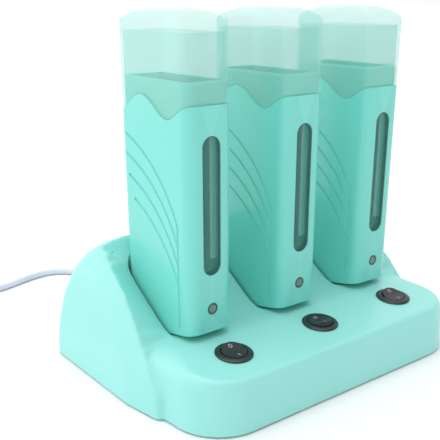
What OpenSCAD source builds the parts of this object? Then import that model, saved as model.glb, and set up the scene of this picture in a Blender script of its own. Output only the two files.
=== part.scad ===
// Triple roll-on wax heater: a mains base with three cradles, and three
// upright heaters that lift out of it, each with a lift-off cap.
// Origin: middle of the footprint, on the surface the feet stand on.
// +X runs along the row of heaters, -Y is the switch side, +Z is up.

/* [Base] */
// Width of the base at the floor
base_w = 239; // [236:1:252]
// Depth of the base at the floor
base_d = 168; // [164:1:182]
// Height of the hump behind the heaters
hump_h = 86; // [82:1:94]
// Height of the deck where the heaters stand
deck_h = 38; // [36:1:42]
// How much lower the deck is at its front edge
deck_fall = 5; // [3:0.5:6]
// Wall thickness of the base
base_wall = 3; // [2.4:0.1:3.4]
// How far the front part stands in from the hump's side
side_step = 8.5; // [7:0.5:10]
// Plan radius of the front corners
front_r = 33; // [24:1:38]

/* [Heaters] */
// Distance between heaters
pitch = 70; // [66:1:72]
// Width of a heater, along the row
unit_w = 32; // [31.5:0.5:34]
// Depth of a heater, front to back
unit_d = 71; // [70:1:75]
// Plan radius of a heater's corners
unit_r = 8; // [6:0.1:9.5]
// Height of a heater with its cap
unit_h = 188; // [184:1:202]
// Wall thickness of the casing
case_wall = 2.2; // [1.8:0.1:2.4]
// Room around a heater in its cradle
cradle_gap = 1.8; // [1.2:0.1:2.4]
// Depth of the curved grooves on the broad sides
groove_t = 0.6; // [0.3:0.1:0.8]

/* [Cartridge chamber] */
// Inside width of the sleeve
sleeve_w = 24; // [22:0.2:24]
// Inside depth of the sleeve
sleeve_d = 58; // [50:1:58]
// Length of the sleeve
sleeve_h = 110; // [100:1:113]
// Wall of the sleeve
sleeve_t = 0.8; // [0.6:0.1:0.9]

/* [Cap] */
// Wall thickness of the cap
cap_wall = 1.6; // [1.2:0.1:1.8]
// Play between the cap and the neck
cap_gap = 0.3; // [0.25:0.05:0.4]
// Height of the neck above the cap's front edge
neck_h = 12; // [11:0.5:16]

/* [Window and lamp] */
// Width of the window
win_w = 12.4; // [10:0.2:14]
// Length of the window
win_h = 80.5; // [70:0.5:84]
// Height of the window's lower end above the heater's foot
win_z = 42.5; // [40:0.5:46]
// Diameter of the lamp lens
lamp_d = 7; // [5:0.2:8]
// Height of the lamp above the heater's foot
lamp_z = 21.5; // [20:0.5:24]

/* [Switches] */
// Diameter of the switch's rim
rim_d = 23; // [22:0.5:24]
// Diameter of the switch's body in the panel
switch_d = 20; // [19:0.2:20.4]
// Diameter of the rocker
rocker_d = 15.5; // [14:0.1:16]
// How far the rocker tips each way, degrees
rocker_tip = 10; // [7:1:12]
// Distance of the switches in front of the heaters
switch_gap = 20; // [17:0.5:22]

/* [Cord] */
// Diameter of the cord
cord_d = 5; // [4:0.2:5.2]
// Turns in each layer of the coil
coil_turns = 2.75; // [1.75:1:2.75]
// Outer radius of the coil, to the middle of the cord
coil_r = 35; // [34:1:38]

/* [Hidden] */
$fn = 64;
e = 0.01;

mint = "#9fe3da";
dark = "#2b3036";
metal = "#c4c8cb";
white = "#e9ecf2";

// where things stand
foot_t = 1.2;                        // the shell hangs this far above the floor
unit_y = 1;                          // middle of the heaters, front to back
unit_front = unit_y - unit_d/2;
unit_back = unit_y + unit_d/2;
floor_z = deck_h - 2.2;              // floor of a cradle
seat = 0.2;                          // heater above its cradle floor
unit_z = floor_z + seat;             // foot of a heater
switch_y = unit_front - switch_gap;
plate_t = 2.5;
plate_gap = 0.3;
front_y = -base_d/2;
fall_a = atan(deck_fall/(unit_front - front_y));   // slope of the deck

function unit_x(i) = (i - 2)*pitch;

// ---- plain helpers

module round_rect(w, d, r) {
  square([w - 2*r, d], center = true);
  square([w, d - 2*r], center = true);
  for (x = [-1, 1], y = [-1, 1]) translate([x*(w/2 - r), y*(d/2 - r)]) circle(r);
}

module stadium(w, h) {               // upright, its foot at y = 0
  translate([-w/2, w/2]) square([w, h - w]);
  translate([0, w/2]) circle(w/2);
  translate([0, h - w/2]) circle(w/2);
}

// profile given as (y, z), pushed along X over the width w
module along_x(w) {
  rotate([90, 0, 90]) translate([0, 0, -w/2]) linear_extrude(w) children();
}

// profile given as (x, z), pushed along Y over the depth d, centred
module along_y(d) {
  translate([0, d/2, 0]) rotate([90, 0, 0]) linear_extrude(d) children();
}

// ---- the base's outer form, set in by k for the hollow under it

deck_half = base_w/2 - side_step;

// front part: level, inset of its sides, front and corners
front_rows = [[foot_t, 0], [deck_h - 10, 2.4], [deck_h - 6.5, 3.2], [deck_h - 4, 4.8],
              [deck_h - 2.2, 7.4], [deck_h - 1, 11], [deck_h - 0.3, 14.5]];

module front_part(k) intersection() {
  hull() for (q = front_rows) {
    r = max(front_r - q[1] - k, 4);
    for (s = [-1, 1]) {
      translate([s*(deck_half - q[1] - k - r), front_y + q[1] + k + r, q[0] - (k > 0 ? 2 : 0)])
        cylinder(r = r, h = 0.1, $fn = 48);
      translate([s*(deck_half + 1.5 - q[1] - k - 2), -30, q[0] - (k > 0 ? 2 : 0)])
        cylinder(r = 2, h = 0.1, $fn = 24);
      translate([s*(deck_half + 1.5 - q[1] - k - 2), 18, q[0] - (k > 0 ? 2 : 0)])
        cylinder(r = 2, h = 0.1, $fn = 24);
    }
  }
  along_x(2*base_w) polygon([[front_y - 1, foot_t - k], [25, foot_t - k],
    [25, deck_h - k], [unit_front, deck_h - k], [front_y - 1, deck_h - deck_fall - tan(fall_a) - k]]);
}

// hump: share of its height, then how far its side, front and back have come in
wing_y = unit_front - 6.5;           // foot of the wings
hump_rows = [[0, 0, 0, 0], [0.15, 0.8, 0.8, 1], [0.32, 2, 9.5, 3.4], [0.5, 3.8, 22, 7.8],
  [0.67, 6.5, 37, 14.5], [0.775, 9, 48, 19.5], [0.845, 11.5, 58, 24], [0.9, 14.5, 65, 28.5],
  [0.95, 18.5, 72, 33.5], [0.98, 23, 76, 38.5], [1, 30, 79, 43.5]];

module hump_body(k) hull() for (q = hump_rows) {
  z = q[0] == 0 ? foot_t - k : foot_t + q[0]*(hump_h - foot_t) - k;
  rb = 9 - k;
  for (s = [-1, 1]) {
    w = base_w/2 - q[1] - k;
    translate([s*(w - rb), base_d/2 - q[3] - k - rb, z]) cylinder(r = rb, h = 0.1, $fn = 32);
    translate([s*(w - 7), wing_y + q[2] + k + 3, z]) cylinder(r = 3, h = 0.1, $fn = 24);
    translate([s*(w - 4), min(wing_y + q[2] + 28, base_d/2 - q[3] - k - rb), z])
      cylinder(r = 4, h = 0.1, $fn = 24);
  }
}

// the hollowed front of the hump, scooped deeper between its two wings
scoop_half = pitch + unit_w/2;
// in the middle: y, height above the deck
scoop = [[-70, 0], [-34, 0], [-26.5, 0], [-20, 0], [-14.5, 0.2], [-8.5, 1.5], [-0.5, 6],
  [9.5, 12.5], [19.5, 19], [27.5, 25], [34.5, 33], [40.5, 42], [45.5, 51], [50, 68]];
// ridge of each wing: y, share of the hump's height, how far in from the base's side
wing = [[-70, -0.116, 1], [-44, 0.093, 1], [-38, 0.227, 1.2], [-31.7, 0.35, 2],
  [-26, 0.442, 2.8], [-18, 0.558, 3.8], [-9, 0.674, 5.6], [1.2, 0.779, 7.6], [10, 0.831, 8.7],
  [19, 0.876, 10], [30, 0.909, 11.2], [44, 0.942, 13.5], [56, 1.023, 14.5], [66, 1.233, 15.5]];
side_in = 2.5;                       // the ridge's line is carried on to here and past the side
far = [for (w = wing) (base_w/2 - side_in - scoop_half)/(base_w/2 - w[2] - scoop_half)];
dish_mid = [for (p = scoop) [p[0], deck_h + p[1]]];
dish_side = [for (j = [0:len(wing) - 1]) let (w = [wing[j][0], wing[j][1]*hump_h])
  dish_mid[j] + far[j]*(w - dish_mid[j])];
dish_x = [-base_w/2 - 8, -base_w/2 + side_in, -scoop_half, scoop_half, base_w/2 - side_in,
  base_w/2 + 8];

module dish(k) {
  n = len(scoop);
  m = len(dish_x);
  function at(i, j, t) = 2*(i*n + j) + t;
  function quad(a, b, c, d) = [[a, b, c], [a, c, d]];
  translate([0, k*0.6, -k*0.85]) polyhedron(
    points = [for (i = [0:m - 1], j = [0:n - 1], t = [0, 1])
      let (p = i == 2 || i == 3 ? dish_mid[j] : dish_side[j]) [dish_x[i], p[0], p[1] + t*hump_h]],
    faces = concat(
      [for (i = [0:m - 2], j = [0:n - 2]) each quad(at(i, j, 0), at(i + 1, j, 0),
        at(i + 1, j + 1, 0), at(i, j + 1, 0))],
      [for (i = [0:m - 2], j = [0:n - 2]) each quad(at(i, j, 1), at(i, j + 1, 1),
        at(i + 1, j + 1, 1), at(i + 1, j, 1))],
      [for (i = [0:m - 2]) each quad(at(i, 0, 0), at(i, 0, 1), at(i + 1, 0, 1), at(i + 1, 0, 0))],
      [for (i = [0:m - 2]) each quad(at(i, n - 1, 0), at(i + 1, n - 1, 0), at(i + 1, n - 1, 1),
        at(i, n - 1, 1))],
      [for (j = [0:n - 2]) each quad(at(0, j, 0), at(0, j + 1, 0), at(0, j + 1, 1), at(0, j, 1))],
      [for (j = [0:n - 2]) each quad(at(m - 1, j, 0), at(m - 1, j, 1), at(m - 1, j + 1, 1),
        at(m - 1, j + 1, 0))]));
}

module hump(k) difference() {
  hump_body(k);
  dish(k);
}

module base_form(k) {
  front_part(k);
  hump(k);
}

// the space a heater drops into, and the walls that ring it
module cradle_space(g, drop) {
  intersection() {
    linear_extrude(2*hump_h) round_rect(unit_w + 2*g, unit_d + 2*g, unit_r + g);
    along_x(2*unit_w) polygon([[-unit_d, deck_h + 0.2 - drop], [-24, deck_h + 0.2 - drop],
      [-6, floor_z - drop], [unit_d, floor_z - drop], [unit_d, 2*hump_h],
      [-unit_d, 2*hump_h]]);
  }
}

// screw posts of the base: x, y, and the height where the post joins the roof
posts = [for (p = [[base_w/2 - 21.5, front_y + 54], [pitch/2, front_y + 22],
  [base_w/2 - 21.5, base_d/2 - 24]], s = [-1, 1]) [s*p[0], p[1]]];
post_d = 7;
screw_d = 3;
pilot_gap = 0.05;

relief_x = -30;                      // cord outlet in the back wall
relief_z = 14;
relief_d = 9;
relief_gap = 0.1;

pin_gap = 0.35;
pin_d = 3.2;
pin_sp = 12;
pin_y = 12;
block_w = 24;

module at_switch(i) {
  translate([unit_x(i), switch_y, deck_h - tan(fall_a)*(unit_front - switch_y)])
    rotate([fall_a, 0, 0]) children();
}

module base_shell() color(mint) difference() {
  base_form(0);
  difference() {
    base_form(base_wall);
    for (i = [1:3]) translate([unit_x(i), unit_y, 0]) intersection() {
      cradle_space(cradle_gap + base_wall - 0.6, base_wall - 0.4);
      translate([-unit_w, -20, 0]) cube([2*unit_w, unit_d, hump_h]);
    }
    for (p = posts) translate([p[0], p[1], plate_t + foot_t + 0.1]) cylinder(d = post_d, h = hump_h);
  }
  for (i = [1:3]) {
    translate([unit_x(i), unit_y, 0]) cradle_space(cradle_gap, 0);
    at_switch(i) translate([0, 0, -12]) cylinder(d = switch_d + 0.2, h = 20);
    for (s = [-1, 1]) translate([unit_x(i) + s*pin_sp/2, unit_y + pin_y, floor_z - 6])
      cylinder(d = pin_d + 2*pin_gap, h = 12, $fn = 32);
  }
  for (p = posts) translate([p[0], p[1], 0])
    cylinder(d = screw_d + 2*pilot_gap, h = 20, $fn = 32);
  translate([relief_x, base_d/2 - 15, relief_z]) rotate([-90, 0, 0])
    cylinder(d = relief_d + 2*relief_gap, h = 30);
}

// ---- floor plate, feet and screws

plate_in = base_wall + 0.7;
feet = [for (p = [[base_w/2 - 24.5, front_y + 36], [base_w/2 - 13.5, base_d/2 - 13]], s = [-1, 1])
  [s*p[0], p[1]]];
foot_d = 14;
foot_sink = 0.8;

module plate_outline() {
  r = front_r - base_wall;
  w = 2*(deck_half - plate_in);
  wb = base_w - 2*plate_in;
  yf = front_y + plate_in;
  yb = base_d/2 - plate_in;
  translate([-w/2, yf + r]) square([w, 60]);
  translate([-w/2 + r, yf]) square([w - 2*r, 60]);
  for (x = [-1, 1]) translate([x*(w/2 - r), yf + r]) circle(r);
  translate([-wb/2 + 4.5, wing_y + plate_in + 1]) square([wb - 9, 40]);
  translate([-wb/2, wing_y + plate_in + 26]) square([wb, yb - 6 - wing_y - plate_in - 26]);
  translate([-wb/2 + 6, yb - 20]) square([wb - 12, 20]);
  for (x = [-1, 1]) translate([x*(wb/2 - 6), yb - 6]) circle(6);
}

module base_plate() color(mint) difference() {
  translate([0, 0, foot_t]) linear_extrude(plate_t) plate_outline();
  for (p = posts) translate([p[0], p[1], 0]) {
    cylinder(d = screw_d + 0.6, h = 10, $fn = 32);
    translate([0, 0, foot_t - 1]) cylinder(d = 6.6, h = 2.2, $fn = 32);
  }
  for (p = feet) translate([p[0], p[1], foot_t - 1]) cylinder(d = foot_d + 0.2, h = 1 + foot_sink);
  for (x = [-12:4:12], y = [20, 26]) translate([x, y, 0])
    cube([2, 4, 20], center = true);
}

module rubber_feet() color("#3a3d40")
  for (p = feet) translate([p[0], p[1], 0]) {
    cylinder(d = foot_d, h = foot_t + foot_sink);
  }

module base_screws() color(metal)
  for (p = posts) translate([p[0], p[1], foot_t]) {
    difference() {
      translate([0, 0, 0.1]) cylinder(d = 6, h = 1.1, $fn = 32);
      cube([4, 0.7, 1.2], center = true);
      cube([0.7, 4, 1.2], center = true);
    }
    cylinder(d = 2.4, h = 1.2, $fn = 32);
    translate([0, 0, 1.2]) cylinder(d = screw_d, h = 12, $fn = 32);
  }

// ---- switches

rim_h = 1.7;
rocker_gap = 0.25;
pivot_z = 0.2;                       // pivot above the deck
pivot_d = 2;
pivot_gap = 0.05;
well = 5;                            // depth of the rocker's well under the rim

module switch_body(i) color(dark) at_switch(i) {
  difference() {
    union() {
      translate([0, 0, 0.02]) cylinder(d = rim_d, h = 0.9);
      translate([0, 0, 0.92]) cylinder(d1 = rim_d, d2 = rim_d - 2.2, h = rim_h - 0.9);
      translate([0, 0, -9]) cylinder(d = switch_d, h = 9.1);
      translate([-6.5, -8, -14]) cube([13, 16, 5.1]);
      for (y = [-5.5, 0, 5.5]) translate([-2.4, y - 0.4, -19]) cube([4.8, 0.8, 5.1]);
    }
    translate([0, 0, pivot_z - well]) cylinder(d = rocker_d + 2*rocker_gap, h = 20);
    translate([-rim_d/2 + 2.2, 0, pivot_z]) rotate([0, 90, 0])
      cylinder(d = pivot_d + 2*pivot_gap, h = rim_d - 4.4, $fn = 32);
  }
}

// s = 1 : front pressed in (on), s = -1 : back pressed in (off)
module rocker(i, s) color(dark) at_switch(i) translate([0, 0, pivot_z])
  rotate([s*rocker_tip, 0, 0]) {
    intersection() {
      sphere(d = rocker_d);
      along_x(rocker_d) polygon([[-rocker_d, -3.2], [rocker_d, -3.2],
        [rocker_d, 1.6 + rocker_d*tan(rocker_tip)], [0, 1.6],
        [-rocker_d, 1.6 + rocker_d*tan(rocker_tip)]]);
    }
    translate([-rim_d/2 + 2.5, 0, 0]) rotate([0, 90, 0])
      cylinder(d = pivot_d, h = rim_d - 5, $fn = 32);
  }

// ---- contacts under the cradles

module contact_block(i) color(dark) translate([unit_x(i), unit_y + pin_y, 0]) difference() {
  translate([-block_w/2, -6, floor_z - 12]) cube([block_w, 12, 12 - base_wall + 0.38]);
  for (s = [-1, 1]) translate([s*pin_sp/2, 0, 0]) cylinder(d = pin_d, h = 60, $fn = 32);
}

module contact_pins() color("#c9a24a") for (i = [1:3], s = [-1, 1])
  translate([unit_x(i) + s*pin_sp/2, unit_y + pin_y, floor_z - 15]) {
    cylinder(d = pin_d, h = 24, $fn = 32);
    translate([0, 0, 24]) cylinder(d1 = pin_d, d2 = pin_d - 1.4, h = 1.2, $fn = 32);
  }

// ---- mains parts inside the base

term_y = base_d/2 - 30;
term_z = foot_t + plate_t;
clamp_y = base_d/2 - 19;
bus_y = term_y - 10;
bus_x = base_w/2 - 15.5;
core_d = 2.2;

module terminal_block() color(white) translate([relief_x, term_y, term_z + 0.02]) difference() {
  translate([-16, -5, 0]) cube([32, 10, 16]);
  for (x = [-12, 0, 12]) translate([x, 0, 9]) cylinder(d = 4, h = 10, $fn = 32);
}

module cord_clamp() color(white) translate([relief_x, clamp_y, term_z + 0.02]) difference() {
  translate([-11, -4, 0]) cube([22, 8, relief_z - term_z + cord_d/2 + 3]);
  translate([0, -10, relief_z - term_z - 0.02]) rotate([-90, 0, 0])
    cylinder(d = cord_d + 0.1, h = 20, $fn = 32);
}

// a run of wire through the given points, round at its bends
module run(pts, d) {
  for (j = [0:len(pts) - 2]) {
    v = pts[j + 1] - pts[j];
    l = norm(v);
    translate(pts[j]) rotate([0, acos(v[2]/l), atan2(v[1], v[0])]) cylinder(d = d, h = l, $fn = 16);
    if (j > 0) translate(pts[j]) sphere(d = d, $fn = 16);
  }
}

module wiring() color("#7d4a36") {
  wz = term_z + core_d/2 + 0.1;
  // the cord's inner end, from the outlet through the clamp to the block
  translate([relief_x, term_y + 5.02, relief_z]) rotate([-90, 0, 0])
    cylinder(d = cord_d, h = base_d/2 - 12 - term_y - 5.02, $fn = 32);
  // the bus along the row and the drops to each switch and cradle
  run([[relief_x, term_y - 5.02, wz], [relief_x, bus_y, wz], [-bus_x, bus_y, wz]], core_d);
  run([[relief_x, bus_y, wz], [bus_x, bus_y, wz]], core_d);
  for (i = [1:3]) {
    x = unit_x(i) + (i == 3 ? -20 : 20);
    run([[x, bus_y, wz], [x, switch_y, wz], [unit_x(i) + (i == 3 ? -2.4 : 2.4), switch_y, wz],
         [unit_x(i) + (i == 3 ? -2.4 : 2.4), switch_y, deck_h - tan(fall_a)*switch_gap - 18.9]], core_d);
    run([[unit_x(i) + pin_sp/2, bus_y, wz], [unit_x(i) + pin_sp/2, unit_y + pin_y, wz],
         [unit_x(i) + pin_sp/2, unit_y + pin_y, floor_z - 15.02]], core_d);
    run([[unit_x(i) - pin_sp/2, bus_y, wz], [unit_x(i) - pin_sp/2, unit_y + pin_y, wz],
         [unit_x(i) - pin_sp/2, unit_y + pin_y, floor_z - 15.02]], core_d);
  }
}

// ---- cord

relief_l = 20;                       // the bending sleeve outside the wall
relief_end = base_d/2 + relief_l;

module strain_relief() color(white) translate([relief_x, 0, relief_z]) rotate([-90, 0, 0]) difference() {
  union() {
    translate([0, 0, base_d/2 - 12]) cylinder(d = relief_d, h = 12.5);
    translate([0, 0, base_d/2 - 6 - base_wall]) cylinder(d = relief_d + 4, h = 3.4);
    translate([0, 0, base_d/2 - 0.35]) cylinder(d = relief_d + 4, h = 2.35);
    translate([0, 0, base_d/2 + 2]) cylinder(d1 = relief_d, d2 = cord_d + 1.6, h = relief_l - 2);
    translate([0, 0, base_d/2 + 0.2]) cylinder(d = relief_d, h = 2);
  }
  for (j = [0:4], a = [0, 180]) rotate(a) translate([relief_d/2 - 1, -6, base_d/2 + 4.5 + 3*j])
    cube([4, 12, 1.2]);
}

// points of the cord's free stretch, from the outlet to the coil
lie = cord_d/2 + 0.1;
coil_at = [-150, 247];
route = [[-30, relief_end, relief_z], [-30, relief_end + 6, 13.8], [-30, 119, 12], [-30, 133, 8],
         [-30, 149, 4], [-30, 163, lie], [-30, 178, lie], [-31, 191, lie], [-34, 203, lie],
         [-40, 213, lie], [-49, 221, lie], [-60, 224, lie], [-72, 222.5, lie], [-85, 219, lie],
         [-98, 215, lie], [-112, 212.6, lie], [-126, 212, lie],
         [coil_at[0] + cord_d + 6, coil_at[1] - coil_r, lie],
         [coil_at[0] + cord_d, coil_at[1] - coil_r, lie]];

coil_step = 6.2;                     // from turn to turn
coil_lift = 5.7;                     // from layer to layer
coil_in = coil_r - coil_turns*coil_step;
turns_all = 2*coil_turns + 0.5;
function coil_pt(u) =                // u counts turns from the outside
  let (r = u < coil_turns ? coil_r - u*coil_step
         : u < coil_turns + 0.5 ? coil_in : coil_in + (u - coil_turns - 0.5)*coil_step,
       z = u < coil_turns ? 0 : u < coil_turns + 0.5 ? 2*(u - coil_turns)*coil_lift : coil_lift,
       a = -90 - 360*u)
  [coil_at[0] + r*cos(a), coil_at[1] + r*sin(a), lie + z];
coil_n = round(24*turns_all);
coil_path = concat([[coil_at[0] + cord_d, coil_at[1] - coil_r, lie]],
  [for (j = [0:coil_n]) coil_pt(turns_all*j/coil_n)],
  [[coil_at[0] - cord_d, coil_at[1] - coil_r, lie + coil_lift]]);
echo(coil_least_gap = min([for (i = [0:2:len(coil_path) - 1], j = [i + 14:1:len(coil_path) - 1])
  norm(coil_path[i] - coil_path[j])]) - cord_d);

plug_z = 7;
tail = [[coil_at[0] - cord_d, coil_at[1] - coil_r, lie + coil_lift],
        [coil_at[0] - 2*cord_d, coil_at[1] - coil_r, lie + coil_lift],
        [-172, 208, 8], [-182, 200, 7.7], [-190, 187, 7.3], [-194, 175, plug_z],
        [-195, 163, plug_z], [-195, 157, plug_z]];

// one closed tube along the points, n-sided, its ends cut square
function dir(p, i) = let (a = p[max(i - 1, 0)], b = p[min(i + 1, len(p) - 1)]) (b - a)/norm(b - a);
function edge_dir(p, i) = i == 0 ? (p[1] - p[0])/norm(p[1] - p[0])
  : i == len(p) - 1 ? (p[i] - p[i - 1])/norm(p[i] - p[i - 1]) : dir(p, i);
function ring(p, i, r, n) = let (t = edge_dir(p, i), s = cross([0, 0, 1], t), u = s/norm(s),
    v = cross(t, u))
  [for (k = [0:n - 1]) p[i] + r*(cos(360*(k + 0.5)/n)*u + sin(360*(k + 0.5)/n)*v)];
module tube(p, r, n) {
  m = len(p);
  polyhedron(
    points = [for (i = [0:m - 1]) each ring(p, i, r, n)],
    faces = concat(
      [[for (k = [0:n - 1]) k]],
      [for (i = [0:m - 2], k = [0:n - 1]) each [
        [i*n + k, (i + 1)*n + k, (i + 1)*n + (k + 1)%n],
        [i*n + k, (i + 1)*n + (k + 1)%n, i*n + (k + 1)%n]]],
      [[for (k = [n - 1:-1:0]) (m - 1)*n + k]]));
}

module cord() color(white) tube(route, cord_d/2, 10);
module cord_coil() color(white) tube(coil_path, cord_d/2, 6);
module cord_tail() color(white) tube(tail, cord_d/2, 10);

// ---- plug: flat two-pin form, lying on its broad side, pins toward -Y

plug_at = tail[len(tail) - 1];
plug_l = 36;
plug_t = 13.6;
plug_w = 26;
plug_pin_d = 4;
plug_pin_l = 19;
plug_pin_sp = 18.6;
plug_root_d = 3.4;                   // of the pins inside the plug

module plug() color(white) translate([plug_at[0], plug_at[1], 0]) difference() {
  union() {
    translate([0, 0, plug_z]) rotate([90, 0, 0]) cylinder(d1 = cord_d + 2, d2 = 11, h = 16);
    intersection() {
      translate([-plug_w/2, -plug_l, plug_z - plug_t/2]) cube([plug_w, plug_l - 6, plug_t]);
      translate([0, 0, 0]) linear_extrude(30) polygon([[-6, -6], [6, -6], [9, -14],
        [10, -19], [plug_w/2, -27], [plug_w/2, -plug_l], [-plug_w/2, -plug_l],
        [-plug_w/2, -27], [-10, -19], [-9, -14]]);
    }
  }
  for (s = [-1, 1]) translate([s*plug_pin_sp/2, -plug_l - 1, plug_z]) rotate([-90, 0, 0])
    cylinder(d = plug_root_d, h = 13, $fn = 32);
}

module plug_pins() color(metal) for (s = [-1, 1])
  translate([plug_at[0] + s*plug_pin_sp/2, plug_at[1] - plug_l - plug_pin_l, plug_z])
  rotate([-90, 0, 0]) {
    translate([0, 0, 1]) cylinder(d = plug_pin_d, h = plug_pin_l - 1, $fn = 32);
    translate([0, 0, plug_pin_l]) cylinder(d = plug_root_d, h = 12, $fn = 32);
    cylinder(d1 = plug_pin_d - 1.4, d2 = plug_pin_d, h = 1, $fn = 32);
  }

// ---- heater casing, drawn about its own middle with its foot at z = 0

neck_in = cap_wall + cap_gap;        // the neck stands in by the cap's wall
rim_z = unit_h - 36.5;               // top of the neck
cap_edge = rim_z - neck_h;           // the cap's edge at the front
trough = 8.6;                        // how far its edge dips
crest = 3;                           // and rises
function ease(a, b, t) = a + (b - a)*(1 - cos(180*t))/2;
// height of the joint between cap and casing at depth y
function wave(y) = let (q = (y + unit_d/2)/unit_d)
  q < 0 ? cap_edge
  : q < 0.28 ? cap_edge - ease(0, trough, q/0.28)
  : q < 0.64 ? cap_edge + ease(-trough, crest, (q - 0.28)/0.36)
  : q < 1 ? cap_edge + ease(crest, -trough, (q - 0.64)/0.36) : cap_edge - trough;
wave_n = 30;
function wave_line(up) = [for (j = [0:wave_n]) let (y = -unit_d/2 - 1 + (unit_d + 2)*j/wave_n)
  [y, wave(y) + up]];
// underside: level behind, rising to the front
front_rise = 6.8;
function foot_at(y) = y > -6 ? 0 : front_rise*(-6 - y)/(unit_d/2 - 5);
function foot_line(k) = [[unit_d/2 + 1, k], [-6, k], [-unit_d/2 - 1, front_rise + k]];

module unit_prism(in, z0, z1) {
  translate([0, 0, z0]) linear_extrude(z1 - z0)
    round_rect(unit_w - 2*in, unit_d - 2*in, max(unit_r - in, 1));
}

// curved grooves on the broad sides, fanning from one upright groove
groove_r = 88;
groove_y = 56;                       // middle of the arcs
groove_z = 35;
groove_step = 12;
groove_w = 1;
upright_y = 12 - 36;

module grooves(s) {
  translate([s*(unit_w/2), 0, 0]) {
    for (j = [0:3]) intersection() {
      translate([-groove_t, groove_y, groove_z - groove_step*j]) rotate([0, 90, 0]) difference() {
        cylinder(r = groove_r + groove_w/2, h = 2*groove_t, $fn = 128);
        translate([0, 0, -1]) cylinder(r = groove_r - groove_w/2, h = 4, $fn = 128);
      }
      translate([-2, upright_y, groove_z - groove_step*j + 20])
        cube([4, 58 - 5*j, groove_r - 16]);
    }
    translate([-groove_t, upright_y - groove_w/2, 10]) cube([2*groove_t, groove_w, groove_z + 39 - 10]);
  }
}

bosses = [[-18, 13], [24, 13], [0, 30]];   // casing screws: y, z
boss_d = 6;
case_screw_d = 2.6;
sleeve_z = rim_z - 3 - sleeve_h;     // lower end of the sleeve
sleeve_y = -1;

module case_blank() {
  difference() {
    union() {
      intersection() {
        unit_prism(0, 0, unit_h);
        along_x(2*unit_w) polygon(concat(foot_line(0), wave_line(0)));
      }
      unit_prism(neck_in, cap_edge - trough - 6, rim_z);
    }
    difference() {
      union() {
        intersection() {
          unit_prism(case_wall, 0, cap_edge - trough - 3);
          along_x(2*unit_w) polygon(concat(foot_line(case_wall), [[-unit_d, unit_h], [unit_d, unit_h]]));
        }
        unit_prism(neck_in + 1.2, cap_edge - trough - 4, rim_z - 3);
      }
      // screw bosses, and the shelf the sleeve stands on
      for (b = bosses) translate([-unit_w/2, b[0], b[1]]) rotate([0, 90, 0])
        cylinder(d = boss_d, h = unit_w, $fn = 32);
      translate([-unit_w/2, -unit_d/2, sleeve_z - 2]) cube([unit_w, 7, 1.9]);
      translate([-unit_w/2, unit_d/2 - 7, sleeve_z - 2]) cube([unit_w, 7, 1.9]);
      // fence that backs the heater
      translate([-unit_w/2, sleeve_y + sleeve_d/2 + sleeve_t + 4.6, sleeve_z + 20])
        cube([unit_w, 6, 3]);
    }
    translate([-sleeve_w/2, sleeve_y - sleeve_d/2, rim_z - 4]) cube([sleeve_w, sleeve_d, 6]);
    // window and lamp in the front wall
    translate([0, -unit_d/2 + 10, win_z]) rotate([90, 0, 0]) linear_extrude(20) stadium(win_w, win_h);
    translate([0, -unit_d/2 + 10, lamp_z]) rotate([90, 0, 0]) cylinder(d = lamp_d + 0.1, h = 20);
    // room round the lamp's own light
    translate([0, board_y - 0.5, lamp_z]) rotate([90, 0, 0]) cylinder(d = led_d + 1, h = led_l + 0.5);
    // way in for the contact pins
    for (s = [-1, 1]) translate([s*pin_sp/2, pin_y, -1]) cylinder(d = pin_d + 2*pin_gap + 1, h = 6, $fn = 32);
  }
}

case_screw_z = 11;                   // head depth from the middle of the heater

module case_left(i) color(mint) translate([unit_x(i), unit_y, unit_z]) difference() {
  intersection() {
    case_blank();
    translate([-unit_w, -unit_d, -1]) cube([unit_w, 2*unit_d, unit_h + 2]);
  }
  for (b = bosses) translate([-12, b[0], b[1]]) rotate([0, 90, 0])
    cylinder(d = case_screw_d + 2*pilot_gap, h = 20, $fn = 32);
  grooves(-1);
}

module case_right(i) color(mint) translate([unit_x(i), unit_y, unit_z]) difference() {
  intersection() {
    case_blank();
    translate([0, -unit_d, -1]) cube([unit_w, 2*unit_d, unit_h + 2]);
  }
  for (b = bosses) translate([-1, b[0], b[1]]) rotate([0, 90, 0]) {
    cylinder(d = case_screw_d + 0.5, h = 30, $fn = 32);
    translate([0, 0, case_screw_z + 1]) cylinder(d = 5, h = 20, $fn = 32);
  }
  grooves(1);
}

module case_screws(i) color(metal) translate([unit_x(i), unit_y, unit_z])
  for (b = bosses) translate([0, b[0], b[1]]) rotate([0, 90, 0]) {
    translate([0, 0, -10]) cylinder(d = case_screw_d, h = 10 + case_screw_z + 0.1, $fn = 32);
    difference() {
      translate([0, 0, case_screw_z + 0.02]) cylinder(d = 4.6, h = 1.6, $fn = 32);
      translate([0, 0, case_screw_z + 1.6]) cube([3, 0.6, 1], center = true);
      translate([0, 0, case_screw_z + 1.6]) cube([0.6, 3, 1], center = true);
    }
  }

module window(i) color("#6f9e90") translate([unit_x(i), unit_y, unit_z]) {
  translate([0, -unit_d/2 + case_wall + 0.01, win_z + 0.1]) rotate([90, 0, 0])
    linear_extrude(case_wall - 0.5) stadium(win_w - 0.2, win_h - 0.2);
  translate([0, -unit_d/2 + case_wall + 1.22, win_z - 1.5]) rotate([90, 0, 0])
    linear_extrude(1.2) stadium(win_w + 3, win_h + 3);
}

module lamp_lens(i) color("#6d8a86") translate([unit_x(i), unit_y, unit_z + lamp_z]) {
  translate([0, -unit_d/2 - 0.3, 0]) rotate([-90, 0, 0]) {
    cylinder(d = lamp_d - 0.6, h = 0.35);
    translate([0, 0, 0.35]) cylinder(d = lamp_d, h = case_wall);
    translate([0, 0, case_wall + 0.32]) cylinder(d = lamp_d + 3, h = 1.2);
  }
}

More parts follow.
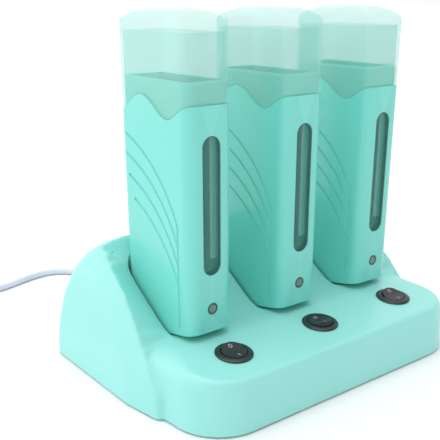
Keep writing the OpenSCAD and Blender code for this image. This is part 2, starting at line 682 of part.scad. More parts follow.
board_y = -unit_d/2 + 8;
board_w = 20;
board_t = 1.6;
board_foot = foot_at(board_y) + case_wall + 0.25;
board_top = sleeve_z - 4.25;         // it ends below the shelf of the sleeve
led_d = 5;
led_l = 4.3;

module lamp_board(i) color("#2f6b4a") translate([unit_x(i), unit_y, unit_z]) difference() {
  union() {
    translate([-board_w/2, board_y, board_foot]) cube([board_w, board_t, board_top - board_foot]);
    translate([0, board_y + 0.01, lamp_z]) rotate([90, 0, 0]) cylinder(d = led_d, h = led_l, $fn = 32);
  }
}

sleeve_r = 3.2;

module sleeve(i) color(metal) translate([unit_x(i), unit_y + sleeve_y, unit_z + sleeve_z]) difference() {
  linear_extrude(sleeve_h - 0.1) round_rect(sleeve_w + 2*sleeve_t, sleeve_d + 2*sleeve_t, sleeve_r);
  translate([0, 0, sleeve_t]) linear_extrude(sleeve_h)
    round_rect(sleeve_w, sleeve_d, sleeve_r - sleeve_t);
  translate([0, -sleeve_d/2 + 5, win_z - sleeve_z + 2]) rotate([90, 0, 0])
    linear_extrude(10) stadium(win_w - 3, win_h - 4);
}

plate_z = 24;
hot_w = 20;                          // plate, and the strip heater on it
hot_l = 70;
hot_t = 2;
hot_drop = 18;
hot_hole = 2.4;
mica_w = 18;
mica_l = 35;
mica_t = 2.4;
module heat_plate(i) color(metal)
  translate([unit_x(i), unit_y + sleeve_y + sleeve_d/2 + sleeve_t + 0.01, unit_z + sleeve_z]) difference() {
    translate([-hot_w/2, 0, plate_z - hot_drop]) cube([hot_w, hot_t, hot_l]);
    for (z = [4, hot_l - 6]) translate([0, -1, plate_z - hot_drop + z]) rotate([-90, 0, 0])
      cylinder(d = hot_hole, h = 4, $fn = 32);
  }

module heater(i) color("#b9b2a6")
  translate([unit_x(i), unit_y + sleeve_y + sleeve_d/2 + sleeve_t + hot_t + 0.02, unit_z + sleeve_z])
    translate([-mica_w/2, 0, plate_z - 8]) cube([mica_w, mica_t, mica_l]);

module thermostat(i) color("#8b8378")
  translate([unit_x(i), unit_y + sleeve_y + sleeve_d/2 + sleeve_t + hot_t + 0.02, unit_z + sleeve_z + plate_z + 38])
    rotate([-90, 0, 0]) {
      cylinder(d = 9, h = 1.6, $fn = 32);
      translate([0, 0, 1.6]) cylinder(d = 6, h = 0.7, $fn = 32);
    }

module socket(i) color(dark) translate([unit_x(i), unit_y + pin_y, unit_z + case_wall + 0.02]) difference() {
  translate([-12, -6.5, 0]) cube([24, 13, 9.6]);
  for (s = [-1, 1]) translate([s*pin_sp/2, 0, -1]) cylinder(d = pin_d + 2*pin_gap, h = 9, $fn = 32);
}

// ---- cap: straight sides, pillowed top, its edge along the wave

cap_side_r = 8;                      // rounding toward the broad sides
cap_dome = 14;                       // drop of the top from the crown to its ends
cap_bend = 2.2;                      // how square the top's curve is

module cap_top(in) {                 // side view, (y, z), z = 0 at the crown
  b = unit_d/2 - in;
  n = 14;
  polygon(concat([[-b, -unit_h/2], [b, -unit_h/2]],
    [for (j = [0:2*n]) let (a = 90*j/n, c = pow(abs(cos(a)), 2/cap_bend)*sign(cos(a)))
      [b*c, (cap_dome - in)*(pow(sin(a), 2/cap_bend) - 1)]]));
}

edge_gap = 0.4;                      // line between the cap and the casing
cap_side = 2.6;                      // walls beside the room over the neck
cap_end = 4.9;
cap_roof = 11.8;                     // from the crown down to the room's flat ceiling
cap_seat = 0.5;                      // the shoulder above the neck

module cap_form(in, z0) {
  intersection() {
    unit_prism(in, z0, unit_h + 1);
    along_x(2*unit_w) translate([0, unit_h - in]) cap_top(in);
    along_y(2*unit_d) union() {
      translate([-unit_w/2 + in, 0]) square([unit_w - 2*in, unit_h - cap_side_r]);
      translate([-unit_w/2 + cap_side_r, 0]) square([unit_w - 2*cap_side_r, unit_h - in]);
      for (s = [-1, 1]) translate([s*(unit_w/2 - cap_side_r), unit_h - cap_side_r])
        circle(cap_side_r - in);
    }
  }
}

module cap(i) color("#cfe9e4", 0.6) translate([unit_x(i), unit_y, unit_z]) difference() {
  intersection() {
    cap_form(0, cap_edge - trough - 2);
    along_x(2*unit_w) polygon(concat(wave_line(edge_gap), [[unit_d, unit_h + 5], [-unit_d, unit_h + 5]]));
  }
  intersection() {
    cap_form(cap_wall, 10);
    translate([-unit_w, -unit_d, 0]) cube([2*unit_w, 2*unit_d, rim_z + cap_seat]);
  }
  translate([0, 0, rim_z]) linear_extrude(unit_h - cap_roof - rim_z)
    round_rect(unit_w - 2*cap_side, unit_d - 2*cap_end, 1);
}

base_shell();
base_plate();
rubber_feet();
base_screws();
switch_body(1);  // switch_body_1
switch_body(2);  // switch_body_2
switch_body(3);  // switch_body_3
rocker(1, 1);  // rocker_1
rocker(2, -1);  // rocker_2
rocker(3, 1);  // rocker_3
contact_block(1);  // contact_block_1
contact_block(2);  // contact_block_2
contact_block(3);  // contact_block_3
contact_pins();
terminal_block();
cord_clamp();
wiring();
strain_relief();
cord();
cord_coil();
cord_tail();
plug();
plug_pins();
case_left(1);  // case_left_1
case_right(1);  // case_right_1
case_screws(1);  // case_screws_1
window(1);  // window_1
lamp_lens(1);  // lamp_lens_1
lamp_board(1);  // lamp_board_1
sleeve(1);  // sleeve_1
heat_plate(1);  // heat_plate_1
heater(1);  // heater_1
thermostat(1);  // thermostat_1
socket(1);  // socket_1
cap(1);  // cap_1
case_left(2);  // case_left_2
case_right(2);  // case_right_2
case_screws(2);  // case_screws_2
window(2);  // window_2
lamp_lens(2);  // lamp_lens_2
lamp_board(2);  // lamp_board_2
sleeve(2);  // sleeve_2
heat_plate(2);  // heat_plate_2
heater(2);  // heater_2
thermostat(2);  // thermostat_2
socket(2);  // socket_2
cap(2);  // cap_2
case_left(3);  // case_left_3
case_right(3);  // case_right_3
case_screws(3);  // case_screws_3
window(3);  // window_3
lamp_lens(3);  // lamp_lens_3
lamp_board(3);  // lamp_board_3
sleeve(3);  // sleeve_3
heat_plate(3);  // heat_plate_3
heater(3);  // heater_3
thermostat(3);  // thermostat_3
socket(3);  // socket_3
cap(3);  // cap_3
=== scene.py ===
import math

import bmesh
import bpy
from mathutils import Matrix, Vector


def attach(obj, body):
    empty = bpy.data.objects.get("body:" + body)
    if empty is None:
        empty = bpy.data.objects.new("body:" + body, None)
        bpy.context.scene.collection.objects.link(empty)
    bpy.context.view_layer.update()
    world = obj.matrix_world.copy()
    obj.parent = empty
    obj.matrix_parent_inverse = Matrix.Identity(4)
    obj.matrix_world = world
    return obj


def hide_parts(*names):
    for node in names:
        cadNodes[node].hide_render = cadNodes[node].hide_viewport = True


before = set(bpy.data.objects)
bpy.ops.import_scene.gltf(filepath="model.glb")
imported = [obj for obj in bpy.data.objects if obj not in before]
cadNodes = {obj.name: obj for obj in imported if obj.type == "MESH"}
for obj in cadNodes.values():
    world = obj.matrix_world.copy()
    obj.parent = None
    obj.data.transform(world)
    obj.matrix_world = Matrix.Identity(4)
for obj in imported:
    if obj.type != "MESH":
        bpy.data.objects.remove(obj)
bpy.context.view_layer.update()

# Pieces are drawn in millimetres and brought to metres when they are done.
# +X runs along the heaters, -Y is the switch side, Z is up from the table.

quarter = (math.radians(90), 0, 0)  # a rod laid along Y
sideways = (0, math.radians(90), 0)  # a rod laid along X


# hands: picking, placing and cutting

def clearSelection():
    if bpy.context.object and bpy.context.object.mode != "OBJECT":
        bpy.ops.object.mode_set(mode="OBJECT")
    bpy.ops.object.select_all(action="DESELECT")


def take(*objs):
    clearSelection()
    for obj in objs:
        obj.hide_set(False)
        obj.select_set(True)
    bpy.context.view_layer.objects.active = objs[0]
    return objs[0]


def seat(obj):  # place, turn and size go into the mesh
    take(obj)
    bpy.ops.object.transform_apply(location=True, rotation=True, scale=True)
    return obj


def toMetres(obj):
    obj.scale = (0.001, 0.001, 0.001)
    return seat(obj)


def named(name):
    obj = bpy.context.object
    obj.name = name
    obj.data.name = name
    return obj


def addBlock(name, low, high):
    clearSelection()
    bpy.ops.mesh.primitive_cube_add(size=1, location=[(a + b) / 2 for a, b in zip(low, high)])
    obj = named(name)
    obj.scale = [b - a for a, b in zip(low, high)]
    return seat(obj)


def addRod(name, middle, radius, depth, turn=(0, 0, 0), sides=48):
    clearSelection()
    bpy.ops.mesh.primitive_cylinder_add(vertices=sides, radius=radius, depth=depth,
                                        location=middle, rotation=turn)
    return seat(named(name))


def addProfile(name, points, low, high, axis="x"):  # an outline pushed out along an axis
    clearSelection()
    bpy.ops.mesh.primitive_circle_add(vertices=len(points), radius=1, fill_type="NGON")
    obj = named(name)
    for vert, (a, b) in zip(obj.data.vertices, points):
        vert.co = (low, a, b) if axis == "x" else (a, low, b) if axis == "y" else (a, b, low)
    push = {"x": (high - low, 0, 0), "y": (0, high - low, 0), "z": (0, 0, high - low)}[axis]
    pickAll(obj)
    bpy.ops.mesh.extrude_region_move(TRANSFORM_OT_translate={"value": push})
    facesOut()
    leaveEdit()
    return obj


def pickAll(obj):
    pickIn(obj, "FACE", lambda face: True)


def pickIn(obj, kind, test):  # into edit mode, with what passes the test picked
    take(obj)
    bpy.ops.object.mode_set(mode="EDIT")
    bpy.ops.mesh.select_mode(type=kind)
    bpy.ops.mesh.select_all(action="DESELECT")
    mesh = bmesh.from_edit_mesh(obj.data)
    mesh.normal_update()
    parts = {"VERT": mesh.verts, "EDGE": mesh.edges, "FACE": mesh.faces}[kind]
    found = 0
    for part in parts:
        if test(part):
            part.select_set(True)
            found += 1
    mesh.select_flush_mode()
    bmesh.update_edit_mesh(obj.data)
    return found


def leaveEdit():
    bpy.ops.object.mode_set(mode="OBJECT")


def facesOut():  # in edit mode, all faces turned outwards
    bpy.ops.mesh.select_all(action="SELECT")
    bpy.ops.mesh.normals_make_consistent(inside=False)


def softenEdges(obj, width, steps, test):
    if pickIn(obj, "EDGE", test):
        bpy.ops.mesh.bevel(offset=width, segments=steps, profile=0.5, affect="EDGES", clamp_overlap=True)
    leaveEdit()
    return obj


def sharpEdge(degrees):
    limit = math.radians(degrees)
    return lambda edge: edge.is_manifold and edge.calc_face_angle(0) > limit


def mid(part):
    return sum((v.co for v in part.verts), Vector()) / len(part.verts)


def useModifier(obj, kind, **settings):
    take(obj)
    modifier = obj.modifiers.new(kind.lower(), kind)
    for key, value in settings.items():
        setattr(modifier, key, value)
    bpy.ops.object.modifier_apply(modifier=modifier.name)
    return obj


def combine(obj, other, how):  # the other piece is used up
    useModifier(obj, "BOOLEAN", object=other, operation=how, solver="EXACT")
    bpy.data.objects.remove(other)
    return obj


def cutAway(obj, *others):
    for other in others:
        combine(obj, other, "DIFFERENCE")
    return obj


def joinAll(name, objs):
    take(*objs)
    if len(objs) > 1:
        bpy.ops.object.join()
    return named(name)


def copyOf(obj, name, shift=(0, 0, 0)):
    new = obj.copy()
    new.data = obj.data.copy()
    new.name = new.data.name = name
    bpy.context.scene.collection.objects.link(new)
    new.location = shift
    return seat(new)


def smoothUpTo(obj, degrees):
    take(obj)
    bpy.ops.object.shade_smooth_by_angle(angle=math.radians(degrees))
    return useModifier(obj, "WEIGHTED_NORMAL", keep_sharp=True, weight=90)


def hullOfRings(name, rings):  # rings as (x, y, z, radius, sides)
    clearSelection()
    x, y, z, radius, sides = rings[0]
    bpy.ops.mesh.primitive_circle_add(vertices=sides, radius=radius, location=(x, y, z))
    obj = seat(named(name))
    bpy.ops.object.mode_set(mode="EDIT")
    for x, y, z, radius, sides in rings[1:]:
        bpy.ops.mesh.primitive_circle_add(vertices=sides, radius=radius, location=(x, y, z))
    bpy.ops.mesh.select_all(action="SELECT")
    bpy.ops.mesh.convex_hull()
    leaveEdit()
    return obj


def finishPiece(obj, body, material, slot, *stoodFor):
    obj.data.materials.clear()
    obj.data.materials.append(material)
    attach(obj, body)
    if stoodFor:
        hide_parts(*stoodFor)
    return obj


# camera, as the photograph was taken

cameraSet = {"place": (-0.31581, -0.35969, 0.23093), "aim": (0, 0.04858, 0.03002),
             "roll": -0.195, "lens": 61.316, "shift": (-0.0011, 0.1488)}


def aimed(s):  # the turn that looks from its place to its aim
    return (Vector(s["aim"]) - Vector(s["place"])).to_track_quat("-Z", "Y").to_euler()


clearSelection()
bpy.ops.object.camera_add(location=cameraSet["place"])
camera = bpy.context.object
camera.name = "photoCamera"
camera.rotation_euler = aimed(cameraSet)
camera.rotation_euler.rotate_axis("Z", math.radians(cameraSet["roll"]))
camera.data.sensor_width = 36
camera.data.lens = cameraSet["lens"]
camera.data.shift_x, camera.data.shift_y = cameraSet["shift"]
camera.data.clip_start, camera.data.clip_end = 0.02, 60
bpy.context.scene.camera = camera
print("camera set")


# finishes

def newFinish(name):
    finish = bpy.data.materials.new(name)
    finish.use_nodes = True
    tree = finish.node_tree
    return finish, tree.nodes, tree.links, tree.nodes["Principled BSDF"]


def grainFrom(nodes, links, scale, detail=2, stretch=None):
    place = nodes.new("ShaderNodeTexCoord")
    noise = nodes.new("ShaderNodeTexNoise")
    noise.inputs["Scale"].default_value = scale
    noise.inputs["Detail"].default_value = detail
    if stretch:
        turn = nodes.new("ShaderNodeMapping")
        turn.inputs["Scale"].default_value = stretch
        links.new(place.outputs["Object"], turn.inputs["Vector"])
        links.new(turn.outputs["Vector"], noise.inputs["Vector"])
    else:
        links.new(place.outputs["Object"], noise.inputs["Vector"])
    return noise.outputs["Fac"]


def rampOf(nodes, links, source, low, high, start=0.2, end=0.8):
    ramp = nodes.new("ShaderNodeValToRGB")
    ramp.color_ramp.elements[0].position = start
    ramp.color_ramp.elements[1].position = end
    ramp.color_ramp.elements[0].color = low
    ramp.color_ramp.elements[1].color = high
    links.new(source, ramp.inputs["Fac"])
    return ramp.outputs["Color"]


def spanOf(nodes, links, source, low, high, fromLow=0.3, fromHigh=0.7):
    span = nodes.new("ShaderNodeMapRange")
    span.inputs["From Min"].default_value = fromLow
    span.inputs["From Max"].default_value = fromHigh
    span.inputs["To Min"].default_value = low
    span.inputs["To Max"].default_value = high
    links.new(source, span.inputs["Value"])
    return span.outputs["Result"]


def roughen(nodes, links, shader, source, strength, depth):
    bump = nodes.new("ShaderNodeBump")
    bump.inputs["Strength"].default_value = strength
    bump.inputs["Distance"].default_value = depth
    links.new(source, bump.inputs["Height"])
    links.new(bump.outputs["Normal"], shader.inputs["Normal"])


plasticSet = {"worn": (0.6, 0.75), "smear": 14, "grainHeight": 0.00005, "grainShare": 0.03, "shine": 0.5,
              "paler": (1.15, 0.06)}


def mouldedPlastic(name, tone, deep, gloss=(0.27, 0.33), grain=1400, rubbed=0.2, alpha=1.0, cloud=12):
    p = plasticSet
    finish, nodes, links, shader = newFinish(name)
    wide = grainFrom(nodes, links, cloud, 1)
    colour = rampOf(nodes, links, wide, deep, tone)
    if rubbed:  # edges paler where hands and cloths rub them
        edge = nodes.new("ShaderNodeNewGeometry")
        worn = spanOf(nodes, links, edge.outputs["Pointiness"], 0, rubbed, *p["worn"])
        mix = nodes.new("ShaderNodeMix")
        mix.data_type = "RGBA"
        pale = [min(1, c * p["paler"][0] + p["paler"][1]) for c in tone[:3]] + [1]
        for socket in mix.inputs:
            if socket.identifier == "A_Color":
                links.new(colour, socket)
            if socket.identifier == "B_Color":
                socket.default_value = pale
            if socket.identifier == "Factor_Float":
                links.new(worn, socket)
        colour = [s for s in mix.outputs if s.identifier == "Result_Color"][0]
    links.new(colour, shader.inputs["Base Color"])
    smear = grainFrom(nodes, links, p["smear"], 1)
    links.new(spanOf(nodes, links, smear, *gloss, 0.2, 0.8), shader.inputs["Roughness"])
    roughen(nodes, links, shader, grainFrom(nodes, links, grain, 2), p["grainShare"], p["grainHeight"])
    shader.inputs["Specular IOR Level"].default_value = p["shine"]
    if alpha < 1:
        shader.inputs["Alpha"].default_value = alpha
    return finish


metalSet = {"lines": 900, "cloud": 45, "lineShare": 0.15, "lineHeight": 0.00005}


def worked(name, tone, deep, gloss, stretch):  # drawn or brushed metal
    m = metalSet
    finish, nodes, links, shader = newFinish(name)
    lines = grainFrom(nodes, links, m["lines"], 3, stretch)
    cloud = grainFrom(nodes, links, m["cloud"], 3)
    links.new(rampOf(nodes, links, cloud, deep, tone), shader.inputs["Base Color"])
    links.new(spanOf(nodes, links, lines, *gloss), shader.inputs["Roughness"])
    roughen(nodes, links, shader, lines, m["lineShare"], m["lineHeight"])
    shader.inputs["Metallic"].default_value = 1.0
    return finish


# tone, deeper tone, then what differs from the usual
baseMint = mouldedPlastic("baseMint", (0.33, 0.775, 0.73, 1), (0.315, 0.76, 0.71, 1))
caseMint = mouldedPlastic("caseMint", (0.205, 0.710, 0.635, 1), (0.195, 0.695, 0.615, 1), (0.20, 0.27))
capFrost = mouldedPlastic("capFrost", (0.38, 0.82, 0.74, 1), (0.36, 0.80, 0.72, 1), (0.12, 0.18),
                          grain=900, rubbed=0, alpha=0.34)
windowSmoke = mouldedPlastic("windowSmoke", (0.09, 0.44, 0.375, 1), (0.08, 0.41, 0.35, 1), (0.10, 0.16),
                             grain=900, rubbed=0, alpha=0.18)
lampGlass = mouldedPlastic("lampGlass", (0.20, 0.30, 0.27, 1), (0.15, 0.24, 0.22, 1), (0.10, 0.2),
                           grain=3000, rubbed=0, alpha=0.9)
# dark green for the rings round pane and lamp: painted shade at their borders
lampDark = mouldedPlastic("lampDark", (0.045, 0.13, 0.11, 1), (0.035, 0.11, 0.09, 1), (0.3, 0.4))
switchBlack = mouldedPlastic("switchBlack", (0.022, 0.025, 0.031, 1), (0.017, 0.02, 0.025, 1), (0.26, 0.38),
                             grain=1600, rubbed=0.12)
rockerBlack = mouldedPlastic("rockerBlack", (0.016, 0.020, 0.022, 1), (0.013, 0.016, 0.018, 1),
                             (0.34, 0.46), grain=1600, rubbed=0.1)
linerGreen = mouldedPlastic("linerGreen", (0.35, 0.85, 0.76, 1), (0.32, 0.81, 0.72, 1), (0.3, 0.4),
                            grain=900, rubbed=0)
# near-white: the painted highlight line on the rib behind the pane
highlightPale = mouldedPlastic("highlightPale", (0.92, 0.98, 0.95, 1), (0.88, 0.95, 0.92, 1), (0.3, 0.4),
                         grain=900, rubbed=0)
markPaint = mouldedPlastic("markPaint", (0.50, 0.50, 0.50, 1), (0.40, 0.40, 0.41, 1), (0.45, 0.6),
                           grain=4000, rubbed=0)
innerBlack = mouldedPlastic("innerBlack", (0.030, 0.030, 0.032, 1), (0.022, 0.022, 0.024, 1), (0.4, 0.55))
clampIvory = mouldedPlastic("clampIvory", (0.72, 0.70, 0.62, 1), (0.66, 0.64, 0.56, 1), (0.35, 0.5))
cordSkin = mouldedPlastic("cordSkin", (0.70, 0.73, 0.84, 1), (0.64, 0.67, 0.79, 1), (0.36, 0.5),
                          grain=1800, rubbed=0, cloud=60)
wireSkin = mouldedPlastic("wireSkin", (0.16, 0.055, 0.03, 1), (0.13, 0.045, 0.025, 1), (0.4, 0.5))
footRubber = mouldedPlastic("footRubber", (0.035, 0.036, 0.038, 1), (0.026, 0.027, 0.029, 1),
                            (0.65, 0.85), grain=900)
boardGreen = mouldedPlastic("boardGreen", (0.03, 0.14, 0.07, 1), (0.022, 0.11, 0.055, 1), (0.25, 0.4),
                            grain=700, rubbed=0)
micaGrey = mouldedPlastic("micaGrey", (0.42, 0.39, 0.34, 1), (0.33, 0.30, 0.26, 1), (0.5, 0.7),
                          grain=600, rubbed=0)
screwSteel = worked("screwSteel", (0.58, 0.58, 0.60, 1), (0.48, 0.48, 0.50, 1), (0.22, 0.4), (1, 1, 6))
contactBrass = worked("contactBrass", (0.80, 0.58, 0.24, 1), (0.70, 0.48, 0.19, 1), (0.18, 0.34), (1, 1, 8))
pinNickel = worked("pinNickel", (0.72, 0.71, 0.70, 1), (0.62, 0.61, 0.61, 1), (0.1, 0.22), (1, 6, 1))
sleeveMetal = worked("sleeveMetal", (0.66, 0.68, 0.70, 1), (0.56, 0.58, 0.60, 1), (0.3, 0.48), (6, 6, 0.3))

cadFinish = {
    "base_plate": baseMint, "rubber_feet": footRubber, "base_screws": screwSteel,
    "contact_pins": contactBrass, "terminal_block": clampIvory, "cord_clamp": clampIvory,
    "wiring": wireSkin, "strain_relief": cordSkin, "plug": cordSkin, "plug_pins": pinNickel}
for number in "123":
    cadFinish.update({
        "contact_block_" + number: innerBlack, "socket_" + number: innerBlack,
        "case_screws_" + number: screwSteel, "lamp_board_" + number: boardGreen,
        "sleeve_" + number: sleeveMetal, "heat_plate_" + number: sleeveMetal,
        "heater_" + number: micaGrey, "thermostat_" + number: screwSteel})
for node, finish in cadFinish.items():
    cadNodes[node].data.materials.clear()
    cadNodes[node].data.materials.append(finish)
print("finishes mixed")


# cord: out of the back, along the table and into its coil

cordSet = {
    "thick": 0.005, "exit": (-0.030, 0.104, 0.014), "lie": 0.0026,
    "route": [(-0.030, 0.104, 0.014), (-0.030, 0.110, 0.0138), (-0.030, 0.119, 0.012),
              (-0.030, 0.133, 0.008), (-0.030, 0.149, 0.004), (-0.030, 0.163, 0.0026),
              (-0.030, 0.178, 0.0026), (-0.031, 0.191, 0.0026), (-0.034, 0.203, 0.0026),
              (-0.040, 0.213, 0.0026), (-0.049, 0.221, 0.0026), (-0.060, 0.224, 0.0026),
              (-0.072, 0.2225, 0.0026), (-0.085, 0.219, 0.0026), (-0.098, 0.215, 0.0026),
              (-0.112, 0.2126, 0.0026), (-0.126, 0.212, 0.0026), (-0.139, 0.212, 0.0026),
              (-0.145, 0.212, 0.0026)],
    "coilMiddle": (-0.150, 0.247), "coilRadius": 0.035, "turns": 2.75, "step": 0.0062, "lift": 0.0057,
    "tail": [(-0.155, 0.212, 0.0083), (-0.160, 0.212, 0.0083), (-0.172, 0.208, 0.008),
             (-0.182, 0.200, 0.0077), (-0.190, 0.187, 0.0073), (-0.194, 0.175, 0.007),
             (-0.195, 0.163, 0.007), (-0.195, 0.157, 0.007)]}


def coilPoints(c):
    inner = c["coilRadius"] - c["turns"] * c["step"]
    total = 2 * c["turns"] + 0.5  # in, up over half a turn, and out again
    count = round(48 * total)
    points = []
    for j in range(count + 1):
        u = total * j / count
        if u < c["turns"]:
            r, z = c["coilRadius"] - u * c["step"], 0
        elif u < c["turns"] + 0.5:
            r, z = inner, 2 * (u - c["turns"]) * c["lift"]
        else:
            r, z = inner + (u - c["turns"] - 0.5) * c["step"], c["lift"]
        a = math.radians(-90 - 360 * u)
        x, y = c["coilMiddle"]
        points.append((x + r * math.cos(a), y + r * math.sin(a), c["lie"] + z))
    return points


def easedThrough(points, steps):  # a smooth line through the points
    line = []
    for i in range(len(points) - 1):
        p0, p1 = Vector(points[max(i - 1, 0)]), Vector(points[i])
        p2, p3 = Vector(points[i + 1]), Vector(points[min(i + 2, len(points) - 1)])
        for k in range(steps):
            t = k / steps
            line.append(0.5 * ((2 * p1) + (p2 - p0) * t + (2 * p0 - 5 * p1 + 4 * p2 - p3) * t * t
                               + (3 * p1 - p0 - 3 * p2 + p3) * t ** 3))
    return line + [Vector(points[-1])]


def drawCord(c):
    coil = [Vector(p) for p in coilPoints(c)]
    line = easedThrough(c["route"], 4)[:-1] + coil + easedThrough(c["tail"], 4)
    clean = [line[0]]
    for p in line[1:]:
        if (p - clean[-1]).length > 0.0008:
            clean.append(p)
    curve = bpy.data.curves.new("mainsCord", "CURVE")
    curve.dimensions = "3D"
    spline = curve.splines.new("POLY")
    spline.points.add(len(clean) - 1)
    for point, p in zip(spline.points, clean):
        point.co = (*p, 1)
    curve.bevel_depth = c["thick"] / 2
    curve.bevel_resolution = 5
    curve.use_fill_caps = True
    spline.use_smooth = True
    cord = bpy.data.objects.new("mainsCord", curve)
    bpy.context.scene.collection.objects.link(cord)
    return cord, sum((b - a).length for a, b in zip(clean, clean[1:]))


mainsCord, cordLength = drawCord(cordSet)
finishPiece(mainsCord, "base", cordSkin, "cord_white", "cord", "cord_coil", "cord_tail")
print("cord laid,", round(cordLength, 3), "m")


# floor and light

floorSet = {"size": 30, "tone": (0.93, 0.93, 0.935, 1), "deep": (0.90, 0.905, 0.91, 1), "dull": 0.8}
clearSelection()
bpy.ops.mesh.primitive_plane_add(size=floorSet["size"], location=(0, 0, -0.0001))
floor = seat(named("paleFloor"))
floorFinish, nodes, links, shader = newFinish("paleFloorFinish")
links.new(rampOf(nodes, links, grainFrom(nodes, links, 3, 2), floorSet["deep"], floorSet["tone"]),
          shader.inputs["Base Color"])
shader.inputs["Roughness"].default_value = floorSet["dull"]
floor.data.materials.append(floorFinish)

roomSet = {"toward": (-0.30, 0.85, 0.40), "dim": 0.42, "bright": 1.04, "dimAt": -0.80, "brightAt": 0.40}
world = bpy.data.worlds.new("paleRoom")  # brighter behind and to the left, dimmer in front and to the right
world.use_nodes = True
nodes, links = world.node_tree.nodes, world.node_tree.links
compass = nodes.new("ShaderNodeTexCoord")
facing = nodes.new("ShaderNodeVectorMath")
facing.operation = "DOT_PRODUCT"
facing.inputs[1].default_value = roomSet["toward"]
links.new(compass.outputs["Generated"], facing.inputs[0])
glow = spanOf(nodes, links, facing.outputs["Value"], roomSet["dim"], roomSet["bright"],
              roomSet["dimAt"], roomSet["brightAt"])
links.new(glow, nodes["Background"].inputs["Strength"])
nodes["Background"].inputs["Color"].default_value = (1, 1, 1, 1)
bpy.context.scene.world = world
bpy.context.scene.view_settings.view_transform = "Standard"

lampSet = {
    "sideSoftbox": {"kind": "AREA", "place": (-1.5, -0.45, 0.75), "aim": (0, 0, 0.10), "size": 1.1,
                    "power": 1.6},
    "backCard": {"kind": "AREA", "place": (-1.0, 1.5, 0.45), "aim": (0, 0, 0.12), "size": 1.2, "power": 3},
    "frontFill": {"kind": "AREA", "place": (0.5, -1.7, 0.6), "aim": (0, 0, 0.08), "size": 1.2,
                  "power": 0.8},
    "overhead": {"kind": "SUN", "place": (-0.3, 0.1, 2), "aim": (0, 0, 0), "size": 1.0, "power": 1.05}}
for name, s in lampSet.items():
    clearSelection()
    bpy.ops.object.light_add(type=s["kind"], location=s["place"])
    lamp = bpy.context.object
    lamp.name = name
    lamp.data.energy = s["power"]
    if s["kind"] == "SUN":
        lamp.data.angle = s["size"]
    else:
        lamp.data.shape = "SQUARE"
        lamp.data.size = s["size"]
    lamp.rotation_euler = aimed(s)
print("floor and lights set")


# base shell: two lofted blocks grown together, softened, then cut out

baseSet = {
    "width": 239, "depth": 168, "hump": 86, "deck": 38, "fall": 5, "wall": 3, "sideStep": 8.5,
    "frontRadius": 33, "foot": 1.2, "grain": 1.4, "rounds": 5, "wingFoot": -41, "deckEnd": -34.5,
    "scoopHalf": 86, "wingAt": 117, "pitch": 70, "heaterMiddle": 1, "outlet": (-30, 84, 14),
    "switchAt": (-54.5, 36), "switchHole": 10.1, "pinAt": (6, 13), "pinHole": 1.95,
    # each ring of rows: height with how far its side steps in; share of the height with side, front, back
    "deckRows": [(1.2, 0), (28, 2.4), (31.5, 3.2), (34, 4.8), (35.8, 7.4), (37, 11), (38, 16)],
    "humpRows": [(0, 0, 0, 0), (0.15, 0.8, 0.8, 1), (0.32, 2, 9.5, 3.4), (0.5, 3.8, 22, 7.8),
                 (0.67, 6.5, 37, 14.5), (0.775, 9, 48, 19.5), (0.845, 11.5, 58, 24),
                 (0.9, 14.5, 65, 28.5), (0.95, 18.5, 72, 33.5), (0.98, 23, 76, 38.5),
                 (1, 30, 79, 43.5)],
    # down the middle (y, above the deck), and along each wing (y, z, half width there)
    "scoop": [(-72, 0), (-34, 0), (-26.5, 0), (-20, 0), (-14.5, 0.2), (-8.5, 1.5), (-0.5, 6),
              (9.5, 12.5), (19.5, 19), (27.5, 25), (34.5, 33), (40.5, 42), (45.5, 51), (50, 66)],
    "wing": [(-60, -12, 119), (-44, 8, 118.5), (-36, 19.5, 118.3), (-29.7, 30.1, 117.5),
             (-24, 38, 116.7), (-16, 48, 115.7), (-7, 58, 113.9), (3.2, 67, 111.9), (12, 71.5, 110.8),
             (21, 75.3, 109.5), (30, 78.8, 108), (44, 82.5, 106), (56, 90, 105), (66, 112, 104)],
    "posts": [(-98, -30), (98, -30), (-35, -62), (35, -62), (-98, 60), (98, 60)]}


def deckBlock(b, inset):
    rings, half, front = [], b["width"] / 2 - b["sideStep"], -b["depth"] / 2
    for i, (z, come) in enumerate(b["deckRows"]):
        r = max(b["frontRadius"] - come - inset, 4)
        z = (-9 if i == 0 else z) if inset == 0 else (z - 12 if i == 0 else z - 2)
        for s in (-1, 1):
            rings.append((s * (half - come - inset - r), front + come + inset + r, z, r, 64))
            for y in (-30, 18):
                rings.append((s * (half + 1.5 - come - inset - 2), y, z, 2, 20))
    block = hullOfRings("deckBlock", rings)
    slope = math.atan(b["fall"] / (b["deckEnd"] - front))
    pickAll(block)
    bpy.ops.mesh.bisect(plane_co=(0, b["deckEnd"], b["deck"] - inset),
                        plane_no=(0, -math.sin(slope), math.cos(slope)), use_fill=True, clear_outer=True)
    leaveEdit()
    return block


def humpBlock(b, inset):
    rings, back = [], b["depth"] / 2
    for i, (share, side, front, rear) in enumerate(b["humpRows"]):
        z = b["foot"] + share * (b["hump"] - b["foot"]) - inset
        if i == 0:
            z -= 10
        r = 9 - inset
        w = b["width"] / 2 - side - inset
        for s in (-1, 1):
            rings.append((s * (w - r), back - rear - inset - r, z, r, 48))
            rings.append((s * (w - 7), b["wingFoot"] + front + inset + 3, z, 3, 28))
            rings.append((s * (w - 4), min(b["wingFoot"] + front + 28, back - rear - inset - r), z, 4, 28))
    block = hullOfRings("humpBlock", rings)
    dish = scoopedDish(b)
    dish.location = (0, inset * 0.6, -inset * 0.85)
    return cutAway(block, seat(dish))


